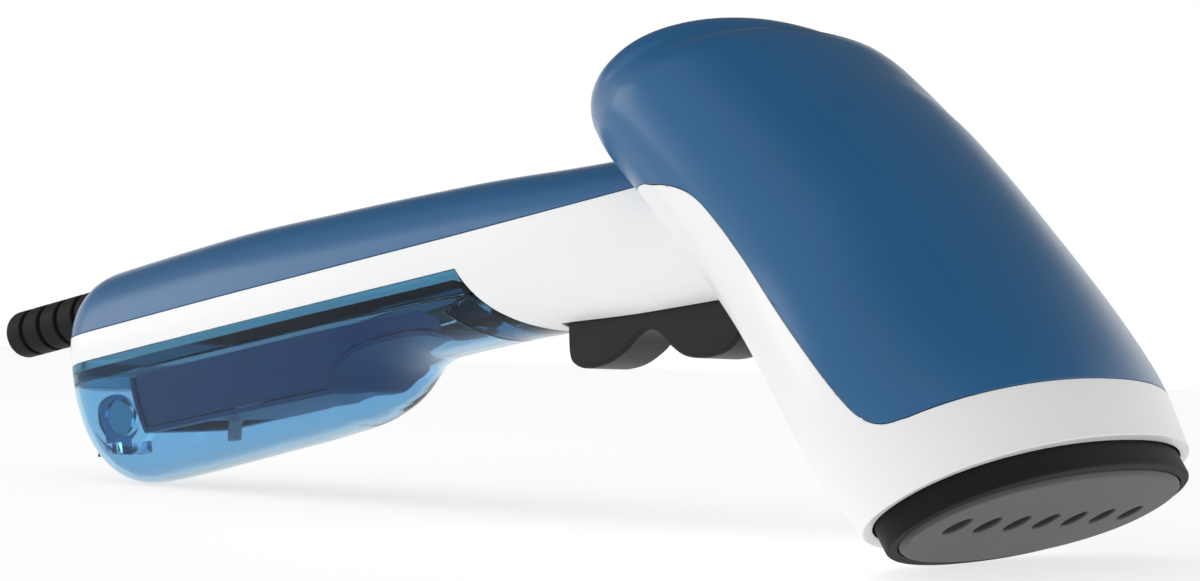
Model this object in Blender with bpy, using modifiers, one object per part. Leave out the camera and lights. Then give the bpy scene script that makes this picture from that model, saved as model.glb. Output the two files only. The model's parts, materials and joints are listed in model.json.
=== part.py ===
"""Handheld garment steamer, lying on its tank and the lower edge of its head.

The object is laid out in a design frame, in millimetres: u runs forward along
the grip, y across it and v up from the straight seam between the white grip
and the water tank. One empty turns that frame into the resting pose, so +X
is forward, +Z is up and the symmetry plane is y = 0.
"""

import math

import bmesh
import bpy
from mathutils import Matrix, Vector

MM = 0.001
GAP = 0.3  # clearance between neighbouring solids
WALL = 2.0  # moulded wall of the grip
TANK_WALL = 1.8
HEAD_WALL = 2.2

# ---------------------------------------------------------------- proportions
GRIP_TOP = [(-16, 23), (0, 24.5), (45, 25), (85, 23.5), (128, 21), (160, 18), (215, 14)]
GRIP_BOTTOM = [(-16, -31), (0, -32), (45, -30.5), (78, -28.5), (88, -25.5),
               (96, -18.5), (105, -16.2), (128, -16), (143, -16.5), (170, -18.5), (215, -20)]
GRIP_WIDTH = [(-16, 20.5), (40, 20.5), (90, 19.5), (130, 18.5), (160, 18.5), (215, 20)]
GRIP_MID = [(-16, 2.0), (90, 2.0), (120, 3.0), (215, 2.0)]
GRIP_REAR, GRIP_ROUND = -16.0, 20.0
GRIP_POWER = 2.4

HEAD_BACK, HEAD_FRONT = (194.5, 27.6), (250.8, -66.3)
HEAD_TILT = (25.0, 21.3)  # section direction at the back and at the plate, degrees
HEAD_DEPTH = [(0, 22.5), (0.12, 25), (0.5, 25.2), (0.85, 24.5), (1, 22.6)]
HEAD_WIDTH = [(0, 44.5), (0.12, 47), (0.5, 49.5), (0.85, 56), (1, 53)]
HEAD_BOW = 4.3
HEAD_POWER = 2.2
HEAD_ROUND = [(2.5, -6.5), (1.8, -3.8), (0.5, -1.8), (-1.5, -0.6)]

SHELL_SEAM = 7.5  # height of the seam between blue shell and white grip
SCOOP = [(127.0, 0.0), (129.2, -4.0), (132.0, -8.0), (136.0, -12.0),
         (141.5, -15.5), (148.0, -18.2), (158.0, -21.5)]
LID_LINE = [(-60.0, -5.2), (116.5, -5.2), (120.5, -8.4), (124.6, -12.6),
            (130.0, -16.6), (138.0, -21.0)]
COVER_SEAM = [(150, 6.0), (192, 2.6), (202, 0.6), (209, -1.6), (214, -4.8), (218.4, -10.3),
              (222.5, -16.5), (229.5, -27.5), (237.5, -38.5), (244.6, -48.0),
              (247.6, -51.3), (250.5, -52.9), (254, -52.6), (262, -49.7), (320, -27.0)]

PLATE_CENTRE = (251.8, -68.9)
PLATE_SIZE = (17.4, 48.2)  # half sizes along the plate's x and y
PLATE_POWER = 2.2
PLATE_FACE = -2.8  # how far the sole stands out of the collar's end
HOLE_PITCH, HOLE_RADIUS, HOLE_ROW = 12.0, 2.9, -1.1

CORD_V = 16.2  # height of the cord entry's axis
NECK_V = 1.0
TRIGGER_PIVOT = (185.5, -12.2)
SPRING_U = 171.4
CAP_PIVOT = (-13.6, -21.2)
CAP_V = -12.9
PUMP_V = 12.2
PUMP_U = (62.0, 108.0)
INLET_V = -6.0

COLOURS = {
    "blue_shell": ((0.035, 0.115, 0.26), 0.3, 0.0),
    "white_shell": ((0.85, 0.85, 0.86), 0.4, 0.0),
    "tank_clear": ((0.10, 0.27, 0.42), 0.12, 0.0),
    "tank_dark": ((0.02, 0.07, 0.12), 0.2, 0.0),
    "tank_navy": ((0.02, 0.06, 0.16), 0.3, 0.0),
    "black_plastic": ((0.02, 0.02, 0.02), 0.5, 0.0),
    "black_rubber": ((0.015, 0.015, 0.015), 0.7, 0.0),
    "clear_silicone": ((0.6, 0.62, 0.62), 0.5, 0.0),
    "sole_coating": ((0.09, 0.09, 0.09), 0.45, 0.3),
    "cast_aluminium": ((0.5, 0.5, 0.5), 0.5, 1.0),
    "steel": ((0.55, 0.55, 0.57), 0.3, 1.0),
    "brass": ((0.6, 0.42, 0.16), 0.35, 1.0),
    "copper": ((0.6, 0.25, 0.12), 0.35, 1.0),
    "grey_plastic": ((0.25, 0.26, 0.27), 0.5, 0.0),
    "mica": ((0.45, 0.38, 0.25), 0.6, 0.0),
    "red_wire": ((0.45, 0.02, 0.02), 0.5, 0.0),
    "blue_wire": ((0.02, 0.08, 0.4), 0.5, 0.0),
}


# -------------------------------------------------------------------- helpers
def clear_scene():
    for item in list(bpy.data.objects):
        bpy.data.objects.remove(item)
    for item in list(bpy.data.collections):
        bpy.data.collections.remove(item)


def new_collection(name, hidden=False):
    made = bpy.data.collections.new(name)
    bpy.context.scene.collection.children.link(made)
    made.hide_render = hidden
    return made


clear_scene()
PARTS = new_collection("garment_steamer")
CUTTERS = new_collection("cutters", hidden=True)


def empty(name, parent=None):
    made = bpy.data.objects.new(name, None)
    PARTS.objects.link(made)
    made.parent = parent
    return made


POSE = empty("resting_pose")
PLATE = empty("plate_frame", POSE)
PLATE.location = Vector((PLATE_CENTRE[0], 0, PLATE_CENTRE[1])) * MM
PLATE.rotation_euler = (0, -math.radians(HEAD_TILT[1]), 0)


def material(name):
    made = bpy.data.materials.get(name)
    if made:
        return made
    colour, rough, metal = COLOURS[name]
    made = bpy.data.materials.new(name)
    made.use_nodes = True
    shader = made.node_tree.nodes["Principled BSDF"]
    shader.inputs["Base Color"].default_value = (*colour, 1)
    shader.inputs["Roughness"].default_value = rough
    shader.inputs["Metallic"].default_value = metal
    made.diffuse_color = (*colour, 1)
    return made


def add(name, mesh, slot=None, frame=POSE):
    """A part when it has a material slot, and otherwise a hidden cutter."""
    made = bpy.data.objects.new(name, mesh)
    made.parent = frame
    if slot:
        PARTS.objects.link(made)
        mesh.materials.append(material(slot))
    else:
        CUTTERS.objects.link(made)
        made.hide_render = True
        made.display_type = "WIRE"
    return made


def from_bmesh(name, shape, slot=None, frame=POSE):
    bmesh.ops.recalc_face_normals(shape, faces=shape.faces)
    bmesh.ops.scale(shape, vec=(MM, MM, MM), verts=shape.verts)
    mesh = bpy.data.meshes.new(name)
    shape.to_mesh(mesh)
    shape.free()
    return add(name, mesh, slot, frame)


def loft(name, rings, slot=None, frame=POSE, closed=False):
    """Quads between rings of equal length, capped at both ends or run round."""
    shape = bmesh.new()
    rows = [[shape.verts.new(point) for point in ring] for ring in rings]
    count = len(rows[0])
    pairs = list(zip(rows, rows[1:])) + ([(rows[-1], rows[0])] if closed else [])
    for first, second in pairs:
        for i in range(count):
            j = (i + 1) % count
            shape.faces.new((first[i], first[j], second[j], second[i]))
    if not closed:
        shape.faces.new(rows[0])
        shape.faces.new(rows[-1])
    return from_bmesh(name, shape, slot, frame)


def box(name, low, high, slot=None, frame=POSE):
    shape = bmesh.new()
    size = [b - a for a, b in zip(low, high)]
    middle = [(a + b) / 2 for a, b in zip(low, high)]
    place = Matrix.Translation(middle) @ Matrix.Diagonal((*size, 1))
    bmesh.ops.create_cube(shape, size=1, matrix=place)
    return from_bmesh(name, shape, slot, frame)


def rod(name, start, end, radius, slot=None, frame=POSE, sides=20):
    shape = bmesh.new()
    start, end = Vector(start), Vector(end)
    along = end - start
    turn = Vector((0, 0, 1)).rotation_difference(along).to_matrix().to_4x4()
    place = Matrix.Translation((start + end) / 2) @ turn
    bmesh.ops.create_cone(shape, cap_ends=True, segments=sides, radius1=radius,
                          radius2=radius, depth=along.length, matrix=place)
    return from_bmesh(name, shape, slot, frame)


def turned(name, profile, start, along, slot=None, frame=POSE, steps=24):
    """A profile of (radius, distance along the axis), run from far end to near end."""
    mesh = bpy.data.meshes.new(name)
    points = [(radius * MM, 0, reach * MM) for radius, reach in profile]
    edges = [(i, (i + 1) % len(points)) for i in range(len(points))]
    if profile[0][0] == 0 and profile[-1][0] == 0:
        edges = edges[:-1]
    mesh.from_pydata(points, edges, [])
    made = add(name, mesh, slot, frame)
    made.location = Vector(start) * MM
    made.rotation_euler = Vector((0, 0, 1)).rotation_difference(Vector(along)).to_euler()
    screw = made.modifiers.new("turn", "SCREW")
    screw.steps = screw.render_steps = steps
    screw.use_merge_vertices = True
    screw.merge_threshold = 0.00001
    screw.use_normal_calculate = False
    return made


def outline(name, points, low_y, high_y, slot=None, frame=POSE):
    """A closed side-view outline of (u, v), extruded across y."""
    curve = bpy.data.curves.new(name, "CURVE")
    curve.dimensions = "2D"
    curve.fill_mode = "BOTH"
    spline = curve.splines.new("POLY")
    spline.points.add(len(points) - 1)
    for point, (u, v) in zip(spline.points, points):
        point.co = (u * MM, v * MM, 0, 1)
    spline.use_cyclic_u = True
    curve.extrude = (high_y - low_y) / 2 * MM
    helper = bpy.data.objects.new(name + "_outline", curve)
    CUTTERS.objects.link(helper)
    bpy.context.view_layer.update()
    mesh = bpy.data.meshes.new_from_object(
        helper.evaluated_get(bpy.context.evaluated_depsgraph_get()))
    bpy.data.objects.remove(helper)
    mesh.transform(Matrix.Translation((0, (low_y + high_y) / 2 * MM, 0))
                   @ Matrix.Rotation(math.radians(90), 4, "X"))
    shape = bmesh.new()
    shape.from_mesh(mesh)
    bmesh.ops.remove_doubles(shape, verts=shape.verts, dist=0.000001)
    bmesh.ops.recalc_face_normals(shape, faces=shape.faces)
    shape.to_mesh(mesh)
    shape.free()
    mesh.name = name
    mesh.materials.clear()
    return add(name, mesh, slot, frame)


def boolean(target, cutter, how="DIFFERENCE"):
    step = target.modifiers.new(cutter.name, "BOOLEAN")
    step.object = cutter
    step.operation = how
    step.solver = "EXACT"
    return target


def cut(target, *cutters):
    for cutter in cutters:
        boolean(target, cutter)
    return target


def join(target, *others):
    for other in others:
        boolean(target, other, "UNION")
    return target


def keep(target, *regions):
    for region in regions:
        boolean(target, region, "INTERSECT")
    return target


def bevelled(target, width, segments=2, angle=40):
    step = target.modifiers.new("edge", "BEVEL")
    step.width = width * MM
    step.segments = segments
    step.limit_method = "ANGLE"
    step.angle_limit = math.radians(angle)
    return target


def set_origin(target, point):
    """Moves the object's origin to a point of its own frame and leaves the solid in place."""
    shift = Vector(point) * MM
    target.data.transform(Matrix.Translation(-shift))
    target.location = shift
    return target


def smooth_path(points, steps):
    """Catmull-Rom points through the given ones."""
    ends = [points[0]] + list(points) + [points[-1]]
    knots = [Vector(point) for point in ends]
    path = []
    for i in range(1, len(knots) - 2):
        a, b, c, d = knots[i - 1:i + 3]
        for k in range(steps):
            t = k / steps
            path.append(0.5 * ((2 * b) + (c - a) * t + (2 * a - 5 * b + 4 * c - d) * t * t
                               + (3 * b - a - 3 * c + d) * t ** 3))
    path.append(knots[-2])
    return path


def sweep_rings(path, radius, sides):
    rings = []
    side = None
    for i, point in enumerate(path):
        ahead = (path[min(i + 1, len(path) - 1)] - path[max(i - 1, 0)]).normalized()
        if side is None:
            side = ahead.orthogonal().normalized()
        side = (side - ahead * side.dot(ahead)).normalized()
        other = ahead.cross(side)
        rings.append([point + side * radius * math.cos(a) + other * radius * math.sin(a)
                      for a in (2 * math.pi * k / sides for k in range(sides))])
    return rings


def hose(name, points, outer, inner, slot, frame=POSE, steps=4, sides=12):
    """A swept tube with open ends, or a solid wire when the inner radius is zero."""
    path = smooth_path(points, steps)
    rings = sweep_rings(path, outer, sides)
    if not inner:
        return loft(name, rings, slot, frame)
    rings += reversed(sweep_rings(path, inner, sides))
    return loft(name, rings, slot, frame, closed=True)


def screw(name, start, along, head_radius, length, frame=POSE, slot="steel"):
    """A pan-head screw: start is the outer face of its head."""
    profile = [(0, length), (1.5, length), (1.5, 2.0), (head_radius, 2.0),
               (head_radius, 0.5), (head_radius - 0.5, 0), (0.9, 0), (0.9, 0.9), (0, 0.9)]
    return turned(name, profile, start, along, slot, frame, steps=10)


# ------------------------------------------------------------- outer surfaces
def along_table(table, x):
    """Smooth interpolation through (x, value) pairs, without overshoot."""
    if x <= table[0][0]:
        return table[0][1]
    if x >= table[-1][0]:
        return table[-1][1]
    rises = [(b[1] - a[1]) / (b[0] - a[0]) for a, b in zip(table, table[1:])]
    slopes = [rises[0]]
    for before, after in zip(rises, rises[1:]):
        slopes.append(0 if before * after <= 0 else 2 * before * after / (before + after))
    slopes.append(rises[-1])
    i = max(k for k in range(len(table) - 1) if table[k][0] <= x)
    (x0, y0), (x1, y1) = table[i], table[i + 1]
    h = x1 - x0
    t = (x - x0) / h
    return ((2 * t ** 3 - 3 * t * t + 1) * y0 + (t ** 3 - 2 * t * t + t) * h * slopes[i]
            + (3 * t * t - 2 * t ** 3) * y1 + (t ** 3 - t * t) * h * slopes[i + 1])


def superellipse(angle, power):
    """The point of a unit superellipse at an angle."""
    c, s = math.cos(angle), math.sin(angle)
    k = (abs(c) ** power + abs(s) ** power) ** (-1 / power)
    return c * k, s * k


def rear_scale(u):
    """How far the grip's rounded rear end has drawn in at u."""
    x = (GRIP_REAR + GRIP_ROUND - u) / GRIP_ROUND
    return 1.0 if x <= 0 else max(1 - x ** 2.6, 0) ** (1 / 2.2)


def grip_ring(u, out=0.0, count=24):
    scale = rear_scale(u)
    middle = along_table(GRIP_MID, u)
    width = along_table(GRIP_WIDTH, u) * scale + out
    above = (along_table(GRIP_TOP, u) - middle) * scale + out
    below = (middle - along_table(GRIP_BOTTOM, u)) * scale + out
    ring = []
    for k in range(count):
        a, b = superellipse(2 * math.pi * k / count, GRIP_POWER)
        ring.append((u, -a * width, middle + b * (above if b > 0 else below)))
    return ring


GRIP_STATIONS = ([GRIP_REAR + GRIP_ROUND * (1 - x) for x in (0.985, 0.91, 0.78, 0.58, 0.3)]
                 + [6, 25, 48, 70, 80, 87, 92, 97, 104, 113, 128, 146, 170, 192, 212])


def grip_loft(name, out=0.0, start=-99.0):
    stations = [u for u in GRIP_STATIONS if u > start]
    if start > -99:
        stations = [start] + stations
    return loft(name, [grip_ring(u, out) for u in stations])


def head_axis(t):
    """The section's centre and its direction towards the broad blue face."""
    angle = math.radians(HEAD_TILT[0] + (HEAD_TILT[1] - HEAD_TILT[0]) * t * t)
    across = Vector((math.cos(angle), 0, math.sin(angle)))
    centre = Vector((HEAD_BACK[0], 0, HEAD_BACK[1])).lerp(
        Vector((HEAD_FRONT[0], 0, HEAD_FRONT[1])), t)
    return centre + across * 4 * HEAD_BOW * t * (1 - t), across


def head_ring(t, out=0.0, count=28):
    centre, across = head_axis(t)
    depth = along_table(HEAD_DEPTH, t) + out
    width = along_table(HEAD_WIDTH, t) + out
    ring = []
    for k in range(count):
        a, b = superellipse(2 * math.pi * k / count, HEAD_POWER)
        ring.append(centre + across * depth * b - Vector((0, width * a, 0)))
    return ring


def head_loft(name, out=0.0, shorter=0.0, past=0.0):
    """The head from its rounded back end to the plate; past extends its open end."""
    back = math.radians(HEAD_TILT[0])
    behind = Vector((-math.sin(back), 0, math.cos(back)))
    rings = [[point + behind * (reach - shorter) for point in head_ring(0.0, draw + out)]
             for reach, draw in HEAD_ROUND]
    rings += [head_ring(t, out) for t in
              (0.07, 0.16, 0.3, 0.46, 0.62, 0.76, 0.85, 0.93, 1.0)]
    if past:
        front = math.radians(HEAD_TILT[1])
        ahead = Vector((math.sin(front), 0, -math.cos(front))) * past
        rings.append([point + ahead for point in rings[-1]])
    return loft(name, rings)


def offset_line(points, distance):
    """A polyline moved sideways, to the left of its direction when distance > 0."""
    moved = []
    for i, (x, y) in enumerate(points):
        ax, ay = points[max(i - 1, 0)]
        bx, by = points[min(i + 1, len(points) - 1)]
        length = math.hypot(bx - ax, by - ay)
        moved.append((x - (by - ay) / length * distance, y + (bx - ax) / length * distance))
    return moved


def plate_ring(z, grow=0.0, count=32, size=PLATE_SIZE):
    ring = []
    for k in range(count):
        a, b = superellipse(2 * math.pi * k / count, PLATE_POWER)
        ring.append(((size[0] + grow) * b, (size[1] + grow) * a, z))
    return ring


def plate_solid(name, layers, slot=None, size=PLATE_SIZE, count=32):
    """Stacked outlines of the plate's shape: (height, growth) pairs."""
    rings = [plate_ring(z, grow, count, size) for z, grow in layers]
    return loft(name, rings, slot, PLATE)


# ----------------------------------------------------------- grip and its tank
def build_grip():
    far = 320
    inner = grip_loft("grip_inside", -WALL, start=-12.8)
    head_room = head_loft("head_room", GAP)
    neck_hole = rod("neck_hole", (170, 0, NECK_V), (212, 0, NECK_V), 8.1)

    top = add("handle_top", grip_loft("grip_for_top").data, "blue_shell")
    keep(top, outline("top_region", [(-60, SHELL_SEAM + GAP / 2), (far, SHELL_SEAM + GAP / 2),
                                     (far, 80), (-60, 80)], -60, 60))
    cut(top, inner)
    for tag, u in (("rear", 28), ("front", 119)):
        crown = along_table(GRIP_TOP, u) - 1.0
        join(top, rod(f"top_post_{tag}", (u, 0, 4.9), (u, 0, crown), 3.4, sides=14))
        cut(top, rod(f"top_bore_{tag}", (u, 0, 0), (u, 0, 15.5), 1.85, sides=14))
    cut(top, rod("cord_hole", (-30, 0, CORD_V), (-1, 0, CORD_V), 5.2), head_room)

    body = add("handle_body", grip_loft("grip_for_body").data, "white_shell")
    scoop = offset_line(SCOOP, GAP / 2)
    region = ([(-60, SHELL_SEAM - GAP / 2), (-60, GAP / 2), (127.1, GAP / 2)] + scoop[1:]
              + [(scoop[-1][0], -60), (far, -60), (far, SHELL_SEAM - GAP / 2)])
    keep(body, outline("body_region", region, -60, 60))
    deep = offset_line(SCOOP, WALL + 0.2)
    hollow = ([(-60, 12), (-60, 2.2), (129.0, 2.2)] + deep[1:]
              + [(deep[-1][0] + 3, -60), (far, -60), (far, 12)])
    hollow_region = outline("body_hollow_region", hollow, -60, 60)
    cavity = grip_loft("body_cavity", -WALL, start=-12.8)
    keep(cavity, hollow_region)
    cut(body, cavity)
    for tag, u in (("rear", 28), ("front", 119)):
        join(body, rod(f"deck_pad_{tag}", (u, 0, 1.0), (u, 0, 4.55), 4.6, sides=16))
        cut(body, rod(f"deck_bore_{tag}", (u, 0, -2), (u, 0, 8), 1.85, sides=14),
            rod(f"deck_seat_{tag}", (u, 0, -2), (u, 0, 2.5), 3.5, sides=16))
        screw(f"handle_screw_{tag}", (u, 0, 0.45), (0, 0, 1), 3.1, 13.0)
    cut(body, rod("inlet_hole", (120, 0, INLET_V), (146, 0, INLET_V), 3.5),
        box("trigger_slot", (147.2, -8.0, -40), (194.9, 8.0, -12.5)), head_room)
    neck = turned("neck_sleeve", [(7.8, 208), (7.8, 176), (6.3, 176), (6.3, 208)],
                  (0, 0, NECK_V), (1, 0, 0), "grey_plastic")
    return top, body, neck_hole, neck


def build_tank():
    far = 320
    scoop = offset_line(SCOOP, -GAP / 2)
    lid_low = offset_line(LID_LINE, GAP / 2)
    tub_top = offset_line(LID_LINE, -GAP / 2)
    roof = add("tank_roof", grip_loft("grip_for_roof").data, "tank_dark")
    region = ([(-60, -GAP / 2), (126.8, -GAP / 2)] + scoop[1:]
              + [(scoop[-1][0], -60), (lid_low[-1][0], -60)] + lid_low[::-1])
    keep(roof, outline("roof_region", region, -60, 60))
    hollow = offset_line(SCOOP, -GAP / 2 - TANK_WALL)
    roof_cavity = grip_loft("roof_cavity", -TANK_WALL, start=-10.0)
    keep(roof_cavity, outline("roof_hollow", [(-60, -GAP / 2 - TANK_WALL),
                                              (125.0, -GAP / 2 - TANK_WALL)] + hollow[1:5]
                              + [(hollow[4][0], -60), (-60, -60)], -60, 60))
    cut(roof, roof_cavity, rod("outlet_bore", (110, 0, INLET_V), (140, 0, INLET_V), 3.3))

    tub = add("tank_tub", grip_loft("grip_for_tub").data, "tank_clear")
    keep(tub, outline("tub_region", tub_top + [(tub_top[-1][0], -60), (-60, -60)], -60, 60))
    tub_cavity = grip_loft("tub_cavity", -TANK_WALL, start=-10.0)
    keep(tub_cavity, box("tub_hollow", (-10, -60, -60), (127, 60, 20)))
    cut(tub, tub_cavity, box("rear_facet", (-60, -40, -60), (-12.0, 40, 20)))
    for side in (-1, 1):
        y = sorted((side * 4.2, side * 6.0))
        join(tub, box(f"cap_lug_{'left' if side > 0 else 'right'}",
                      (-15.2, y[0], -22.8), (-6.5, y[1], -19.7)))
    pin_u, pin_v = CAP_PIVOT
    cut(tub, rod("cap_pin_bore", (pin_u, -8, pin_v), (pin_u, 8, pin_v), 1.05, sides=12),
        rod("filler_hole", (-20, 0, CAP_V), (-5, 0, CAP_V), 5.0, sides=24))

    cap = rod("filler_cap", (-13.7, 0, CAP_V), (-12.3, 0, CAP_V), 6.6, "tank_dark", sides=28)
    join(cap, rod("cap_plug", (-13.0, 0, CAP_V), (-10.9, 0, CAP_V), 4.4, sides=24),
         box("cap_knuckle", (-14.9, -3.8, -22.5), (-12.6, 3.8, -18.0)))
    cut(cap, rod("cap_bore", (pin_u, -8, pin_v), (pin_u, 8, pin_v), 1.05, sides=12))
    set_origin(cap, (pin_u, 0, pin_v))
    rod("filler_pin", (pin_u, -5.8, pin_v), (pin_u, 5.8, pin_v), 0.75, "steel", sides=12)

    arch = [(80.0, -19.6), (83.0, -16.2), (87.0, -13.4), (92.0, -11.6), (98.0, -10.6),
            (105.0, -10.4), (111.0, -11.0), (116.0, -12.8)]
    baffle = outline("tank_baffle", [(15.0, -6.5), (16.2, -6.5), (16.2, -19.3), (79.0, -19.3)]
                     + offset_line(arch, 0.5)[1:] + offset_line(arch, -0.5)[::-1]
                     + [(79.4, -20.4), (15.0, -20.4)], -30, 30, "tank_navy")
    cut(baffle, box("deck_opening", (17.6, -11, -24), (36.0, 11, -15)))
    keep(baffle, grip_loft("baffle_region", -TANK_WALL - GAP, start=-9.3))

    turned("tank_outlet", [(2.9, 139.5), (2.9, 112.5), (1.6, 112.5), (1.6, 139.5)],
           (0, 0, INLET_V), (1, 0, 0), "grey_plastic")
    hose("suction_tube", [(111.7, 0, INLET_V), (106.0, 0.2, -6.1), (96.0, 1.5, -6.8),
                          (76.0, 4.0, -9.4), (52.0, 5.5, -12.2), (38.0, 5.6, -13.8),
                          (31.0, 5.2, -16.0), (28.0, 4.6, -20.0), (27.6, 4.2, -24.5)],
         2.0, 1.2, "clear_silicone", steps=2, sides=6)
    return roof, tub, cap


# --------------------------------------------------------- inside of the grip
def build_inlet_and_pump():
    turned("inlet_seal", [(4.5, 142.4), (4.5, 137.6), (3.25, 137.6), (3.25, 142.4)],
           (0, 0, INLET_V), (1, 0, 0), "black_rubber", steps=20)
    hose("inlet_hose", [(143.0, 0, INLET_V), (145.6, 0, -3.4), (143.0, -0.4, 2.0),
                        (135.5, -2.4, 8.6), (127.5, -5.4, PUMP_V), (119, -7.0, PUMP_V),
                        (113.4, -3.6, PUMP_V), (111.0, -0.5, PUMP_V), (109.0, 0, PUMP_V)],
         2.3, 1.4, "clear_silicone", steps=2, sides=7)
    low, high = PUMP_U
    axis = ((0, 0, PUMP_V), (1, 0, 0))
    turned("pump_body", [(1.9, high), (1.9, high - 5), (4.0, high - 5), (4.0, low + 5),
                         (1.9, low + 5), (1.9, low), (1.0, low), (1.0, low + 7), (2.6, low + 7),
                         (2.6, high - 7), (1.0, high - 7), (1.0, high)], *axis, "grey_plastic",
           steps=14)
    coil = box("pump_coil", (72, -8.6, PUMP_V - 7.0), (98, 8.6, PUMP_V + 6.6), "copper")
    bevelled(coil, 1.0, 2)
    cut(coil, rod("coil_bore", (60, 0, PUMP_V), (110, 0, PUMP_V), 4.3))
    frame = outline("pump_bracket", [(69.6, 3.0), (100.4, 3.0), (100.4, 16.8), (98.6, 16.8),
                                     (98.6, 4.3), (71.4, 4.3), (71.4, 16.8), (69.6, 16.8)],
                    -8.0, 8.0, "steel")
    cut(frame, rod("bracket_bore", (60, 0, PUMP_V), (110, 0, PUMP_V), 4.3))
    plunger = turned("pump_plunger", [(0, 94), (1.8, 94), (2.2, 93.6), (2.2, 78), (0, 78)],
                     *axis, "steel")
    spiral = []
    turns, steps = 5, 8
    for i in range(turns * steps + 1):
        a = 2 * math.pi * i / steps
        spiral.append(Vector((94.9 + 5.2 * i / (turns * steps), 1.75 * math.cos(a),
                              PUMP_V + 1.75 * math.sin(a))))
    loft("pump_spring", sweep_rings(spiral, 0.28, 4), "steel")
    return plunger


def build_cord_entry():
    axis = ((0, 0, CORD_V), (1, 0, 0))
    outer = [(5.6, 4.2), (5.6, 1.6), (4.9, 1.6), (4.9, -16.3), (6.5, -16.3)]
    for groove in (-20.5, -28.0, -35.5, -43.0):
        outer += [(6.5, groove + 0.9), (5.6, groove + 0.6), (5.6, groove - 0.6),
                  (6.5, groove - 0.9)]
    relief = turned("strain_relief", outer + [(6.5, -49.0), (6.0, -49.8), (3.6, -49.8),
                                              (3.6, 4.2)], *axis, "black_rubber", steps=16)
    for k, groove in enumerate((-20.5, -28.0, -35.5, -43.0)):
        for side in (-1, 1):
            near, far = sorted((side * 2.4, side * 9.0))
            low = (groove - 0.6, -4.3, near) if k % 2 else (groove - 0.6, near, -4.3)
            high = (groove + 0.6, 4.3, far) if k % 2 else (groove + 0.6, far, 4.3)
            slot = box(f"relief_slot_{k}_{'a' if side > 0 else 'b'}",
                       (low[0], low[1], low[2] + CORD_V), (high[0], high[1], high[2] + CORD_V))
            cut(relief, slot)
    clamp = outline("cord_clamp", [(9.0, 8.2), (17.0, 8.2), (17.0, 12.4), (9.0, 12.4)],
                    -10.5, 10.5, "grey_plastic")
    bevelled(clamp, 0.6, 1)
    for side, tag in ((1, "left"), (-1, "right")):
        y = 7.8 * side
        cut(clamp, rod(f"clamp_bore_{tag}", (13, y, 0), (13, y, 20), 1.9, sides=14))
        screw(f"clamp_screw_{tag}", (13, y, 14.8), (0, 0, -1), 3.0, 11.6)
    block = box("terminal_block", (36, -8, 5.0), (50, 8, 12.6), "white_shell")
    for side, tag in ((1, "left"), (-1, "right")):
        cut(block, box(f"terminal_way_{tag}", (30, side * 4 - 1.9, 6.8),
                       (56, side * 4 + 1.9, 10.8)))
    bevelled(block, 0.5, 1)
    for side, tag, slot in ((1, "live", "red_wire"), (-1, "neutral", "blue_wire")):
        y = side * 4.0
        hose(f"wire_{tag}", [(42, y, 8.8), (52, y, 8.8), (60, side * 9.5, 5.4),
                             (70, side * 12.6, 4.6), (100, side * 12.4, 4.6),
                             (132, side * 11.6, 4.8), (156, side * 9.0, 5.2),
                             (170, side * 4.3, 4.4), (182, side * 3.7, 3.9),
                             (204, side * 3.6, 3.1), (211, side * 4.0, 0.4),
                             (217, side * 5.2, -5.6),
                             (222, side * 7.0, -14.0), (228, side * 8.0, -27.0),
                             (232.7, side * 8.0, -38.4), (235.3, side * 8.0, -45.0)],
             1.1, 0, slot, steps=2, sides=5)
    return relief


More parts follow.
